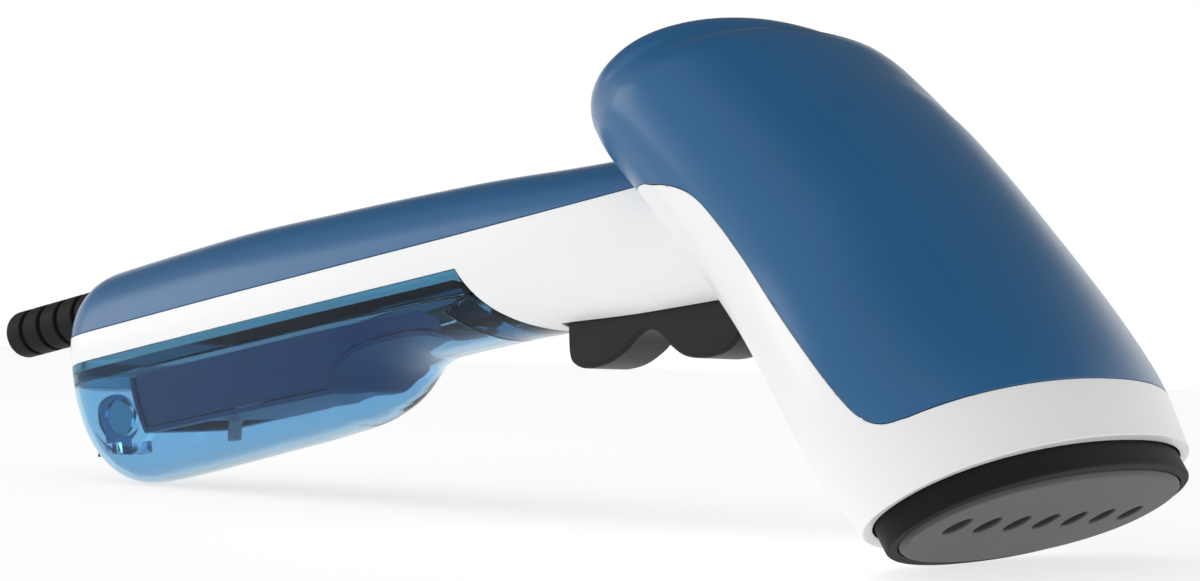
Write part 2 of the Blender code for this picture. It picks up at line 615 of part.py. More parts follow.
def build_trigger():
    profile = [(149.0, -12.6), (148.2, -18.0), (147.9, -23.0), (149.2, -25.2), (152.5, -26.4),
               (158.0, -26.2), (163.0, -24.4), (167.5, -21.6), (170.5, -21.0), (172.8, -22.4),
               (175.2, -25.4), (178.5, -28.0), (183.5, -29.2), (189.0, -28.8), (193.0, -26.2),
               (194.2, -22.0), (193.4, -17.5), (190.4, -12.0), (188.4, -9.2), (182.6, -9.2),
               (179.4, -11.2), (160.0, -11.6)]
    trigger = outline("trigger", profile, -7.5, 7.5, "black_plastic")
    join(trigger, box("trigger_post", (154.4, -2.0, -14), (158.0, 2.0, -8.9)))
    pivot_u, pivot_v = TRIGGER_PIVOT
    cut(trigger, rod("trigger_bore", (pivot_u, -12, pivot_v), (pivot_u, 12, pivot_v), 1.8,
                     sides=16))
    cut(trigger, rod("trigger_spring_seat", (SPRING_U, 0, -13.6), (SPRING_U, 0, -5), 2.9, sides=16))
    set_origin(trigger, (pivot_u, 0, pivot_v))
    rod("trigger_pin", (pivot_u, -10.6, pivot_v), (pivot_u, 10.6, pivot_v), 1.5, "steel",
        sides=16)

    switch = box("micro_switch", (149.6, -3.2, -5.9), (167.6, 3.2, -1.4), "black_plastic")
    cut(switch, box("button_way", (154.6, -1.5, -12), (157.8, 1.5, -3.0)))
    bevelled(switch, 0.4, 1)
    box("switch_button", (154.9, -1.2, -8.6), (157.5, 1.2, -5.6), "white_shell")
    carrier = box("switch_carrier", (148.5, -14.0, -1.1), (174.8, 14.0, 0.4), "grey_plastic")
    join(carrier, rod("spring_post", (SPRING_U, 0, 0), (SPRING_U, 0, -4.4), 1.3, sides=12))
    for side, tag in ((1, "left"), (-1, "right")):
        near, far = sorted((side * 8.6, side * 10.4))
        arm = box(f"cheek_arm_{tag}", (164.0, near, -4.6), (188.8, far, 0.1))
        join(arm, box(f"pin_cheek_{tag}", (182.2, near, -13.8), (188.8, far, 0.1)))
        join(carrier, arm)
    cut(carrier, bpy.data.objects["head_room"])
    cut(carrier, rod("cheek_bore", (pivot_u, -16, pivot_v), (pivot_u, 16, pivot_v), 1.8,
                     sides=16))
    spiral = []
    turns, steps = 5, 8
    for i in range(turns * steps + 1):
        a = 2 * math.pi * i / steps
        spiral.append(Vector((SPRING_U + 2.1 * math.cos(a), 2.1 * math.sin(a),
                              -12.9 + 11.0 * i / (turns * steps))))
    loft("trigger_spring", sweep_rings(spiral, 0.35, 4), "steel")
    return trigger


# ------------------------------------------------------------------- the head
def build_head(neck_hole):
    cover_line = offset_line(COVER_SEAM, GAP / 2)
    body_line = offset_line(COVER_SEAM, -GAP / 2)
    middle, across = head_axis(0.52)
    posts = {tag: middle + Vector((0, 22.0 * side, 0)) for side, tag in ((1, "left"), (-1, "right"))}

    cover = add("head_cover", head_loft("head_for_cover").data, "blue_shell")
    keep(cover, outline("cover_region", cover_line + [(320, 120), (150, 120)], -80, 80))
    cut(cover, head_loft("cover_cavity", -HEAD_WALL, shorter=2.3))
    for tag, at in posts.items():
        join(cover, rod(f"cover_post_{tag}", at - across * 16.9, at + across * 22.2, 3.6,
                        sides=14))
        cut(cover, rod(f"cover_bore_{tag}", at - across * 20, at - across * 4, 1.85, sides=14))
    cut(cover, neck_hole)

    body = add("head_body", head_loft("head_for_body").data, "white_shell")
    keep(body, outline("head_body_region",
                       body_line + [(320, -120), (150, -120)], -80, 80))
    cut(body, head_loft("body_inside", -HEAD_WALL, shorter=2.3, past=6.0),
        plate_solid("gasket_pocket", [(-8.0, 2.9), (4.6, 2.9)]))
    for tag, at in posts.items():
        join(body, rod(f"body_boss_{tag}", at - across * 21.6, at - across * 17.2, 5.0, sides=16))
        cut(body, rod(f"body_seat_{tag}", at - across * 30, at - across * 19.7, 3.6, sides=16),
            rod(f"body_bore_{tag}", at - across * 30, at - across * 12, 1.85, sides=14))
        screw(f"head_screw_{tag}", at - across * 22.0, across, 3.1, 16.0)
    recess = box("collar_recess", (23.3, -7.5, 14.6), (40.0, 7.5, 17.2), frame=PLATE)
    cut(body, neck_hole, recess)
    return cover, body


def build_sole():
    gasket = plate_solid("plate_gasket", [(-2.0, 1.9), (-1.4, 2.5), (4.2, 2.5)], "black_rubber")
    cut(gasket, plate_solid("gasket_opening", [(-9.0, GAP), (9.0, GAP)]))
    sole = plate_solid("steam_plate", [(PLATE_FACE, -0.9), (PLATE_FACE + 0.25, -0.25),
                                       (PLATE_FACE + 0.9, 0), (1.4, 0)], "sole_coating")
    for k in range(-3, 4):
        x, y = HOLE_ROW + 0.1 * k * k, HOLE_PITCH * k
        cut(sole, rod(f"steam_hole_{k + 4}", (x, y, -8), (x, y, 8), HOLE_RADIUS, frame=PLATE,
                      sides=12))
    for side, tag in ((1, "left"), (-1, "right")):
        cut(sole, rod(f"sole_thread_{tag}", (0, 42.2 * side, -0.6), (0, 42.2 * side, 8), 1.85,
                      frame=PLATE, sides=14))

    size = (15.4, 45.6)
    chamber = plate_solid("steam_chamber", [(1.75, 0), (15.5, 0), (16.5, -0.8)],
                          "cast_aluminium", size=size, count=28)
    cut(chamber, plate_solid("chamber_cavity", [(-1, -1.4), (11.5, -1.4), (12.5, -2.4)],
                             size=(13.0, 39.0), count=28),
        rod("chamber_inlet_bore", (3.0, 0, 8), (3.0, 0, 20), 2.3, frame=PLATE, sides=14))
    for side, tag in ((1, "left"), (-1, "right")):
        y = 42.2 * side
        cut(chamber, rod(f"chamber_bore_{tag}", (0, y, 0), (0, y, 20), 1.85, frame=PLATE,
                         sides=14))
        screw(f"chamber_screw_{tag}", (0, y, 18.8), (0, 0, -1), 2.6, 18.6, PLATE)

    path = [(-6.5, -8, 27), (-6.5, -8, 23.0), (-6.5, -11, 19.8), (-6.8, -22, 19.4),
            (-5.5, -31, 19.4), (0, -34.4, 19.4), (5.5, -31, 19.4), (7.2, -20, 19.4),
            (7.6, 0, 19.4), (7.2, 20, 19.4), (5.5, 31, 19.4), (0, 34.4, 19.4),
            (-5.5, 31, 19.4), (-6.8, 22, 19.4), (-6.5, 11, 19.8), (-6.5, 8, 23.0),
            (-6.5, 8, 27)]
    hose("heating_element", path, 2.3, 0, "steel", PLATE, steps=2, sides=7)
    turned("chamber_inlet", [(1.9, 24.5), (1.9, 9.0), (1.1, 9.0), (1.1, 24.5)],
           (3.0, 0, 0), (0, 0, 1), "brass", PLATE, steps=16)
    turned("thermostat", [(0, 23.6), (3.5, 23.6), (3.5, 19.0), (4.3, 18.6), (4.3, 16.9),
                          (0, 16.9)], (0.3, 21.5, 0), (0, 0, 1), "steel", PLATE, steps=18)
    rod("thermal_fuse", (-0.6, -27.5, 18.8), (-0.6, -15.5, 18.8), 1.7, "steel", PLATE, sides=12)
    shield = plate_solid("heat_shield", [(28.6, -4.4), (29.8, -4.4)], "mica", size=(19.5, 49.0),
                         count=24)
    cut(shield, rod("shield_hose_hole", (3.0, 0, 20), (3.0, 0, 40), 3.4, frame=PLATE, sides=16))
    for side, tag in ((1, "left"), (-1, "right")):
        cut(shield, rod(f"shield_wire_hole_{tag}", (-6.6, 8.0 * side, 20), (-6.6, 8.0 * side, 40),
                        2.2, frame=PLATE, sides=16))
        rod(f"shield_pillar_{tag}", (6.0, 38.4 * side, 16.9), (6.0, 38.4 * side, 28.2), 2.2,
            "brass", PLATE, sides=14)

    hose("steam_feed_hose", [(60.6, 0, PUMP_V), (57.4, 0, PUMP_V), (54.6, 3.4, 11.6),
                             (57.0, 9.0, 10.4), (65.0, 11.8, 9.8), (90.0, 11.8, 9.6),
                             (112, 10.8, 9.4), (136, 7.0, 8.4), (160, 1.5, 4.8),
                             (172, 0, 3.9), (184, 0, 1.4), (206, 0, -1.0), (220, 0, -6.5),
                             (231.5, 0, -16.5), (239.4, 0, -28.8), (243.4, 0, -39.0),
                             (245.4, 0, -44.3)],
         2.4, 1.5, "clear_silicone", steps=2, sides=6)


# ------------------------------------------------------------------- the pose
def world_points(names, graph):
    found = []
    for name in names:
        item = bpy.data.objects[name].evaluated_get(graph)
        mesh = item.to_mesh()
        found += [item.matrix_world @ vertex.co for vertex in mesh.vertices]
        item.to_mesh_clear()
    return found


def rest_on_floor():
    """Turns the object so that the tank's belly and the head's lower edge are level."""
    bpy.context.view_layer.update()
    graph = bpy.context.evaluated_depsgraph_get()
    rear = world_points(["tank_tub"], graph)
    front = world_points(["head_body", "steam_plate", "plate_gasket"], graph)

    def lowest(points, angle):
        return min(p.z * math.cos(angle) + p.x * math.sin(angle) for p in points)

    low, high = math.radians(5), math.radians(18)
    for _ in range(30):
        middle = (low + high) / 2
        if lowest(rear, middle) < lowest(front, middle):
            high = middle
        else:
            low = middle
    POSE.rotation_euler = (0, -(low + high) / 2, 0)
    bpy.context.view_layer.update()
    names = [item.name for item in PARTS.objects if item.type == "MESH"]
    points = world_points(names, bpy.context.evaluated_depsgraph_get())
    xs, zs = [p.x for p in points], [p.z for p in points]
    POSE.location = (-(min(xs) + max(xs)) / 2, 0, -min(zs))


def main():
    top, body, neck_hole, neck = build_grip()
    build_tank()
    build_inlet_and_pump()
    build_cord_entry()
    build_trigger()
    build_head(neck_hole)
    build_sole()
    rest_on_floor()


main()
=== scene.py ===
"""Looks for the handheld garment steamer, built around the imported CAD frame.

Shapes are laid out in the design frame, in millimetres: u runs forward along
the grip, y across it and v up from the seam between the grip and the tank.
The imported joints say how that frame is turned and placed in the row's frame.
"""

import json
import math

import bmesh
import bpy
from mathutils import Matrix, Vector

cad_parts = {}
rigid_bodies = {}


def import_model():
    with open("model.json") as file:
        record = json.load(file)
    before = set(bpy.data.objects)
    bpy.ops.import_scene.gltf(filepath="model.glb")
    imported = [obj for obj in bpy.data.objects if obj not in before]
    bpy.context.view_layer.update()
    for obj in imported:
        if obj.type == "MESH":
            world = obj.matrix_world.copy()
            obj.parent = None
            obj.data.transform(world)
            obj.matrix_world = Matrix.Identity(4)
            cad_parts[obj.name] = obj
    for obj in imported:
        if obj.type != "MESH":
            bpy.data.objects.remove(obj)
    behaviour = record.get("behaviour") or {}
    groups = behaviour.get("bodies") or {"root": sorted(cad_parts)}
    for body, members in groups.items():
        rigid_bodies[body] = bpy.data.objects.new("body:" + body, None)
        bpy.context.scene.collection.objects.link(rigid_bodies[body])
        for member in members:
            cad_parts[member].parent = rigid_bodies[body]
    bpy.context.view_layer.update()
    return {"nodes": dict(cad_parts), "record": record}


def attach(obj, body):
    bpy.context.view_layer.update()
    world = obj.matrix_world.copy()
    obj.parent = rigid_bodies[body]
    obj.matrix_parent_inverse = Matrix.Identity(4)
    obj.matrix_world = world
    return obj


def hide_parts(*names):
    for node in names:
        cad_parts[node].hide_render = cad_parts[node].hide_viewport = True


MM = 0.001
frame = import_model()
JOINTS = {joint["name"]: joint for joint in frame["record"]["behaviour"]["joints"]}
FORWARD = Vector(JOINTS["plunger_stroke"]["axis"])
TILT = math.atan2(FORWARD.z, FORWARD.x)
TURN = Matrix.Rotation(-TILT, 4, "Y")

# ---------------------------------------------------------------- proportions
GAP = 0.3
SEAM = 0.07  # half the visible joint between two shells
SLIVER = 0.00006  # metres: shorter edges left by the Booleans are merged away
WALL = 2.0
TANK_WALL = 1.8
HEAD_WALL = 2.2
GRIP_TOP = [(-16, 23), (0, 24.5), (45, 25), (85, 23.5), (128, 21), (160, 18), (215, 14)]
GRIP_BOTTOM = [(-16, -31), (0, -32), (45, -30.5), (78, -28.5), (88, -25.5),
               (96, -18.5), (105, -16.2), (128, -16), (143, -16.5), (170, -18.5), (215, -20)]
GRIP_WIDTH = [(-16, 20.5), (40, 20.5), (90, 19.5), (130, 18.5), (160, 18.5), (215, 20)]
GRIP_MID = [(-16, 2.0), (90, 2.0), (120, 3.0), (215, 2.0)]
GRIP_REAR, GRIP_ROUND = -16.0, 20.0
GRIP_POWER = 2.4
HEAD_BACK, HEAD_FRONT = (194.5, 27.6), (250.8, -66.3)
HEAD_TILT = (25.0, 21.3)
HEAD_DEPTH = [(0, 22.5), (0.12, 25), (0.5, 25.2), (0.85, 24.5), (1, 22.6)]
HEAD_WIDTH = [(0, 44.5), (0.12, 47), (0.5, 49.5), (0.85, 56), (1, 53)]
HEAD_BOW = 4.3
HEAD_POWER = 2.2
HEAD_ROUND = 8.5
SHELL_SEAM = 7.5
SCOOP = [(127.0, 0.0), (129.2, -4.0), (132.0, -8.0), (136.0, -12.0),
         (141.5, -15.5), (148.0, -18.2), (158.0, -21.5)]
LID_LINE = [(-60.0, -5.2), (116.5, -5.2), (120.5, -8.4), (124.6, -12.6),
            (130.0, -16.6), (138.0, -21.0)]
COVER_SEAM = [(150, 6.0), (192, 2.6), (202, 0.6), (209, -1.6), (214, -4.8), (218.4, -10.3),
              (222.5, -16.5), (229.5, -27.5), (237.5, -38.5), (244.6, -48.0),
              (247.6, -51.3), (250.5, -52.9), (254, -52.6), (262, -49.7), (320, -27.0)]
PLATE_CENTRE = (251.8, -68.9)
PLATE_SIZE = (17.4, 48.2)
PLATE_POWER = 2.2
PLATE_FACE = -2.8
HOLE_PITCH, HOLE_RADIUS, HOLE_ROW = 12.0, 2.9, -1.1
CORD_V = 16.2
NECK_V = 1.0
TRIGGER_PIVOT = (185.5, -12.2)
SPRING_U = 171.4
INLET_V = -6.0
CAP_V = -12.9

# The camera and the lights are in the row's frame, in metres and degrees.
CAMERA_PLACE = (0.33266, -0.3746, 0.03718)
CAMERA_TURN = (38.07, -1.77, 2.1)  # yaw, rise and roll
CAMERA_LENS = 64.5
FLOOR_HALF, FLOOR_DROP, FLOOR_GLOW = 6.0, 0.0003, 0.7
LAMP_PLACE, LAMP_AIM = (-0.85, -0.55, 0.3), (0.08, 0, 0.07)
LAMP_SIZE, LAMP_POWER = (0.5, 0.5), 1.9
WHITE = (1, 1, 1, 1)

PIVOT = Vector(JOINTS["trigger_pivot"]["pos_m"])
PLACE = Matrix.Translation(
    PIVOT - TURN @ (Vector((TRIGGER_PIVOT[0], 0, TRIGGER_PIVOT[1])) * MM)) @ TURN
TO_PLATE = (Matrix.Translation(Vector((PLATE_CENTRE[0], 0, PLATE_CENTRE[1])))
            @ Matrix.Rotation(-math.radians(HEAD_TILT[1]), 4, "Y"))

CUTTERS = bpy.data.collections.new("cutters")
bpy.context.scene.collection.children.link(CUTTERS)
PIECES = bpy.data.collections.new("looks")
bpy.context.scene.collection.children.link(PIECES)


# -------------------------------------------------------------------- helpers
def add(name, mesh):
    made = bpy.data.objects.new(name, mesh)
    CUTTERS.objects.link(made)
    return made


def from_bmesh(name, shape, plate=False):
    bmesh.ops.recalc_face_normals(shape, faces=shape.faces)
    if plate:
        bmesh.ops.transform(shape, matrix=TO_PLATE, verts=shape.verts)
    bmesh.ops.scale(shape, vec=(MM, MM, MM), verts=shape.verts)
    mesh = bpy.data.meshes.new(name)
    shape.to_mesh(mesh)
    shape.free()
    return add(name, mesh)


def loft(name, rings, plate=False, closed=False):
    shape = bmesh.new()
    rows = [[shape.verts.new(point) for point in ring] for ring in rings]
    count = len(rows[0])
    pairs = list(zip(rows, rows[1:])) + ([(rows[-1], rows[0])] if closed else [])
    for first, second in pairs:
        for i in range(count):
            j = (i + 1) % count
            shape.faces.new((first[i], first[j], second[j], second[i]))
    if not closed:
        shape.faces.new(rows[0])
        shape.faces.new(rows[-1])
    return from_bmesh(name, shape, plate)


def box(name, low, high, plate=False, edge=0.0):
    shape = bmesh.new()
    size = [b - a for a, b in zip(low, high)]
    middle = [(a + b) / 2 for a, b in zip(low, high)]
    place = Matrix.Translation(middle) @ Matrix.Diagonal((*size, 1))
    bmesh.ops.create_cube(shape, size=1, matrix=place)
    if edge:
        bmesh.ops.bevel(shape, geom=shape.edges[:], offset=edge, segments=4, profile=0.5,
                        affect="EDGES")
    return from_bmesh(name, shape, plate)


def rod(name, start, end, radius, plate=False, sides=48):
    shape = bmesh.new()
    start, end = Vector(start), Vector(end)
    along = end - start
    turn = Vector((0, 0, 1)).rotation_difference(along).to_matrix().to_4x4()
    place = Matrix.Translation((start + end) / 2) @ turn
    bmesh.ops.create_cone(shape, cap_ends=True, segments=sides, radius1=radius,
                          radius2=radius, depth=along.length, matrix=place)
    return from_bmesh(name, shape, plate)


def turned(name, profile, start, along, plate=False, steps=64):
    """Rings of (radius, distance) about an axis; the profile is a closed loop."""
    turn = Vector((0, 0, 1)).rotation_difference(Vector(along)).to_matrix()
    start = Vector(start)
    rings = []
    for k in range(steps):
        a = 2 * math.pi * k / steps
        rings.append([start + turn @ Vector((radius * math.cos(a), radius * math.sin(a), reach))
                      for radius, reach in profile])
    return loft(name, rings, plate, closed=True)


def outline(name, points, low_y, high_y):
    """A closed side-view outline of (u, v), extruded across y."""
    shape = bmesh.new()
    near = [shape.verts.new((u, low_y, v)) for u, v in points]
    far = [shape.verts.new((u, high_y, v)) for u, v in points]
    count = len(points)
    shape.faces.new(near)
    shape.faces.new(far)
    for i in range(count):
        j = (i + 1) % count
        shape.faces.new((near[i], near[j], far[j], far[i]))
    return from_bmesh(name, shape)


def boolean(target, cutter, how):
    step = target.modifiers.new(cutter.name, "BOOLEAN")
    step.object = cutter
    step.operation = how
    step.solver = "EXACT"
    return target


def cut(target, *cutters):
    for cutter in cutters:
        boolean(target, cutter, "DIFFERENCE")
    return target


def join(target, *others):
    for other in others:
        boolean(target, other, "UNION")
    return target


def keep(target, *regions):
    for region in regions:
        boolean(target, region, "INTERSECT")
    return target


def smooth_path(points, steps):
    ends = [points[0]] + list(points) + [points[-1]]
    knots = [Vector(point) for point in ends]
    path = []
    for i in range(1, len(knots) - 2):
        a, b, c, d = knots[i - 1:i + 3]
        for k in range(steps):
            t = k / steps
            path.append(0.5 * ((2 * b) + (c - a) * t + (2 * a - 5 * b + 4 * c - d) * t * t
                               + (3 * b - a - 3 * c + d) * t ** 3))
    path.append(knots[-2])
    return path


def smooth_line(points, steps=5):
    """A finer copy of a (u, v) polyline."""
    return [(p.x, p.z) for p in smooth_path([(u, 0, v) for u, v in points], steps)]


def along_table(table, x):
    if x <= table[0][0]:
        return table[0][1]
    if x >= table[-1][0]:
        return table[-1][1]
    rises = [(b[1] - a[1]) / (b[0] - a[0]) for a, b in zip(table, table[1:])]
    slopes = [rises[0]]
    for before, after in zip(rises, rises[1:]):
        slopes.append(0 if before * after <= 0 else 2 * before * after / (before + after))
    slopes.append(rises[-1])
    i = max(k for k in range(len(table) - 1) if table[k][0] <= x)
    (x0, y0), (x1, y1) = table[i], table[i + 1]
    h = x1 - x0
    t = (x - x0) / h
    return ((2 * t ** 3 - 3 * t * t + 1) * y0 + (t ** 3 - 2 * t * t + t) * h * slopes[i]
            + (3 * t * t - 2 * t ** 3) * y1 + (t ** 3 - t * t) * h * slopes[i + 1])


def superellipse(angle, power):
    c, s = math.cos(angle), math.sin(angle)
    k = (abs(c) ** power + abs(s) ** power) ** (-1 / power)
    return c * k, s * k


def rear_scale(u):
    x = (GRIP_REAR + GRIP_ROUND - u) / GRIP_ROUND
    return 1.0 if x <= 0 else max(1 - x ** 2.6, 0) ** (1 / 2.2)


def grip_ring(u, out=0.0, count=112):
    scale = rear_scale(u)
    middle = along_table(GRIP_MID, u)
    width = along_table(GRIP_WIDTH, u) * scale + out
    above = (along_table(GRIP_TOP, u) - middle) * scale + out
    below = (middle - along_table(GRIP_BOTTOM, u)) * scale + out
    ring = []
    for k in range(count):
        a, b = superellipse(2 * math.pi * k / count, GRIP_POWER)
        ring.append((u, -a * width, middle + b * (above if b > 0 else below)))
    return ring


def grip_stations():
    found = []
    for k in range(16):
        x = math.cos(math.radians(3 + 5.6 * k)) ** (2 / 2.6)
        found.append(GRIP_REAR + GRIP_ROUND * (1 - x))
    u = 6.0
    while u < 212:
        found.append(u)
        u += 2.0 if 76 < u < 112 else 4.0
    return found + [212.0]


STATIONS = grip_stations()


def grip_loft(name, out=0.0, start=-99.0):
    stations = [u for u in STATIONS if u > start + 0.2]
    if start > -99:
        stations = [start] + stations
    return loft(name, [grip_ring(u, out) for u in stations])


def head_axis(t):
    angle = math.radians(HEAD_TILT[0] + (HEAD_TILT[1] - HEAD_TILT[0]) * t * t)
    across = Vector((math.cos(angle), 0, math.sin(angle)))
    centre = Vector((HEAD_BACK[0], 0, HEAD_BACK[1])).lerp(
        Vector((HEAD_FRONT[0], 0, HEAD_FRONT[1])), t)
    return centre + across * 4 * HEAD_BOW * t * (1 - t), across


def eased(x):
    x = min(max(x, 0.0), 1.0)
    return x * x * (3 - 2 * x)


def cover_relief(t, y, b):
    """The shallow raised panel on the cover's broad face, arched at its back."""
    if b <= 0:
        return 0.0
    half = 31.0 + 6.0 * t
    reach = (abs(y) / half) ** 2.4
    back = 0.19 + 0.16 * reach
    inside = eased((t - back) / 0.035)
    return 0.35 * inside * (1 - eased((t - 0.3) / 0.34)) * eased(b * 2.2)


def head_ring(t, out=0.0, relief=False, count=144):
    centre, across = head_axis(t)
    depth = along_table(HEAD_DEPTH, t) + out
    width = along_table(HEAD_WIDTH, t) + out
    ring = []
    for k in range(count):
        a, b = superellipse(2 * math.pi * k / count, HEAD_POWER)
        more = cover_relief(t, width * a, b) if relief else 0.0
        ring.append(centre + across * (depth * b + more) - Vector((0, width * a, 0)))
    return ring


def head_loft(name, out=0.0, shorter=0.0, past=0.0, relief=False):
    back = math.radians(HEAD_TILT[0])
    behind = Vector((-math.sin(back), 0, math.cos(back)))
    middle, _ = head_axis(0)
    rings = []
    edge = head_ring(0.0, out - HEAD_ROUND)
    for scale in (0.15, 0.4, 0.65, 0.85):
        rise = 2.5 + 0.6 * (1 - scale * scale) - shorter
        rings.append([middle + (point - middle) * scale + behind * rise for point in edge])
    for k in range(10):
        a = math.radians(9 * k)
        rings.append([point + behind * (2.5 - HEAD_ROUND * (1 - math.cos(a)) - shorter)
                      for point in head_ring(0.0, out - HEAD_ROUND * (1 - math.sin(a)))])
    steps = 44
    rings += [head_ring(0.075 + 0.925 * k / steps, out, relief) for k in range(steps + 1)]
    if past:
        front = math.radians(HEAD_TILT[1])
        ahead = Vector((math.sin(front), 0, -math.cos(front))) * past
        rings.append([point + ahead for point in rings[-1]])
    return loft(name, rings)


def offset_line(points, distance):
    moved = []
    for i, (x, y) in enumerate(points):
        ax, ay = points[max(i - 1, 0)]
        bx, by = points[min(i + 1, len(points) - 1)]
        length = math.hypot(bx - ax, by - ay)
        moved.append((x - (by - ay) / length * distance, y + (bx - ax) / length * distance))
    return moved


def plate_ring(z, grow=0.0, count=160, size=PLATE_SIZE):
    ring = []
    for k in range(count):
        a, b = superellipse(2 * math.pi * k / count, PLATE_POWER)
        ring.append(((size[0] + grow) * b, (size[1] + grow) * a, z))
    return ring


def plate_solid(name, layers, size=PLATE_SIZE, count=160):
    return loft(name, [plate_ring(z, grow, count, size) for z, grow in layers], plate=True)


# ------------------------------------------------------------------ materials
def new_material(name):
    made = bpy.data.materials.new(name)
    made.use_nodes = True
    return made, made.node_tree.nodes, made.node_tree.links


def object_point(nodes):
    return nodes.new("ShaderNodeTexCoord").outputs["Object"]


def noise(nodes, links, scale, detail=3.0, rough=0.5):
    made = nodes.new("ShaderNodeTexNoise")
    made.inputs["Scale"].default_value = scale
    made.inputs["Detail"].default_value = detail
    made.inputs["Roughness"].default_value = rough
    links.new(object_point(nodes), made.inputs["Vector"])
    return made.outputs["Fac"]


def ramp(nodes, links, source, low, high):
    made = nodes.new("ShaderNodeMapRange")
    made.inputs["To Min"].default_value = low
    made.inputs["To Max"].default_value = high
    links.new(source, made.inputs["Value"])
    return made.outputs["Result"]


def colour_mix(nodes, links, source, first, second):
    made = nodes.new("ShaderNodeMix")
    made.data_type = "RGBA"
    made.inputs["A"].default_value = (*first, 1)
    made.inputs["B"].default_value = (*second, 1)
    links.new(source, made.inputs["Factor"])
    return made.outputs["Result"]


def plastic(name, colour, rough, grain=2600.0, bump=0.04, coat=0.0, metal=0.0, vary=0.06,
            specular=0.5):
    """Moulded plastic: a fine tooled grain, slight colour and gloss variation."""
    made, nodes, links = new_material(name)
    shader = nodes["Principled BSDF"]
    broad = noise(nodes, links, 38.0, 2.0)
    fine = noise(nodes, links, grain, 2.0)
    darker = tuple(c * (1 - vary) for c in colour)
    lighter = tuple(min(c * (1 + vary), 1.0) for c in colour)
    links.new(colour_mix(nodes, links, broad, darker, lighter), shader.inputs["Base Color"])
    links.new(ramp(nodes, links, broad, rough - 0.03, rough + 0.03), shader.inputs["Roughness"])
    shader.inputs["Metallic"].default_value = metal
    shader.inputs["Coat Weight"].default_value = coat
    shader.inputs["Coat Roughness"].default_value = 0.08
    shader.inputs["Specular IOR Level"].default_value = specular
    dent = nodes.new("ShaderNodeBump")
    dent.inputs["Strength"].default_value = bump
    dent.inputs["Distance"].default_value = 0.0002
    links.new(fine, dent.inputs["Height"])
    links.new(dent.outputs["Normal"], shader.inputs["Normal"])
    return made


def tinted(name, colour, rough=0.05, ior=1.3):
    """Clear tinted plastic of the tank."""
    made, nodes, links = new_material(name)
    shader = nodes["Principled BSDF"]
    broad = noise(nodes, links, 24.0, 2.0)
    links.new(colour_mix(nodes, links, broad, tuple(c * 0.95 for c in colour),
                         tuple(min(c * 1.05, 1) for c in colour)), shader.inputs["Base Color"])
    links.new(ramp(nodes, links, broad, rough * 0.7, rough * 1.4), shader.inputs["Roughness"])
    shader.inputs["Transmission Weight"].default_value = 1.0
    shader.inputs["IOR"].default_value = ior
    shader.inputs["Specular IOR Level"].default_value = 0.25
    dent = nodes.new("ShaderNodeBump")
    dent.inputs["Strength"].default_value = 0.05
    dent.inputs["Distance"].default_value = 0.0006
    links.new(noise(nodes, links, 60.0, 1.0), dent.inputs["Height"])
    links.new(dent.outputs["Normal"], shader.inputs["Normal"])
    return made


def brushed(name, colour, rough, stretch=(1, 1, 14)):
    made, nodes, links = new_material(name)
    shader = nodes["Principled BSDF"]
    mapping = nodes.new("ShaderNodeMapping")
    mapping.inputs["Scale"].default_value = stretch
    links.new(object_point(nodes), mapping.inputs["Vector"])
    grain = nodes.new("ShaderNodeTexNoise")
    grain.inputs["Scale"].default_value = 420.0
    links.new(mapping.outputs["Vector"], grain.inputs["Vector"])
    links.new(colour_mix(nodes, links, grain.outputs["Fac"], tuple(c * 0.85 for c in colour),
                         tuple(min(c * 1.1, 1) for c in colour)), shader.inputs["Base Color"])
    links.new(ramp(nodes, links, grain.outputs["Fac"], rough - 0.08, rough + 0.1),
              shader.inputs["Roughness"])
    shader.inputs["Metallic"].default_value = 1.0
    return made


MATERIALS = {
    "blue_shell": plastic("blue_plastic", (0.018, 0.108, 0.25), 0.26, vary=0.03, specular=0.35),
    "white_shell": plastic("white_plastic", (0.82, 0.825, 0.83), 0.36, vary=0.01, coat=0.1),
    "tank_clear": tinted("tank_tint", (0.36, 0.62, 0.82)),
    "tank_dark": tinted("tank_roof_tint", (0.05, 0.2, 0.33)),
    # Navy of the insert in the tank; the same navy on the sheet inside the tub walls is painted
    # shade.
    "tank_navy": plastic("navy_insert", (0.006, 0.055, 0.17), 0.35, bump=0.0),
    "black_plastic": plastic("black_plastic", (0.01, 0.01, 0.011), 0.45, bump=0.25,
                             grain=1500.0, vary=0.2, specular=0.22),
    "black_rubber": plastic("black_rubber", (0.009, 0.009, 0.01), 0.6, bump=0.2, grain=1800.0,
                            vary=0.2, specular=0.12),
    "clear_silicone": plastic("silicone", (0.55, 0.57, 0.57), 0.45, bump=0.1),
    "sole_coating": plastic("sole_coating", (0.06, 0.061, 0.062), 0.5, bump=0.35, grain=900.0,
                            metal=0.1, vary=0.12, specular=0.3),
    "cast_aluminium": plastic("cast_aluminium", (0.5, 0.5, 0.5), 0.5, bump=0.6, grain=700.0,
                              metal=1.0, vary=0.1),
    "steel": brushed("zinc_steel", (0.55, 0.55, 0.57), 0.32),
    "brass": brushed("turned_brass", (0.6, 0.42, 0.16), 0.34),
    "copper": brushed("copper_winding", (0.55, 0.22, 0.1), 0.38, (40, 1, 1)),
    "grey_plastic": plastic("grey_plastic", (0.2, 0.205, 0.21), 0.5, bump=0.2, grain=1400.0),
    "mica": plastic("mica_sheet", (0.42, 0.35, 0.23), 0.55, bump=0.5, grain=500.0, vary=0.2),
    "red_wire": plastic("red_insulation", (0.42, 0.018, 0.018), 0.45, bump=0.1),
    "blue_wire": plastic("blue_insulation", (0.02, 0.08, 0.4), 0.45, bump=0.1),
}


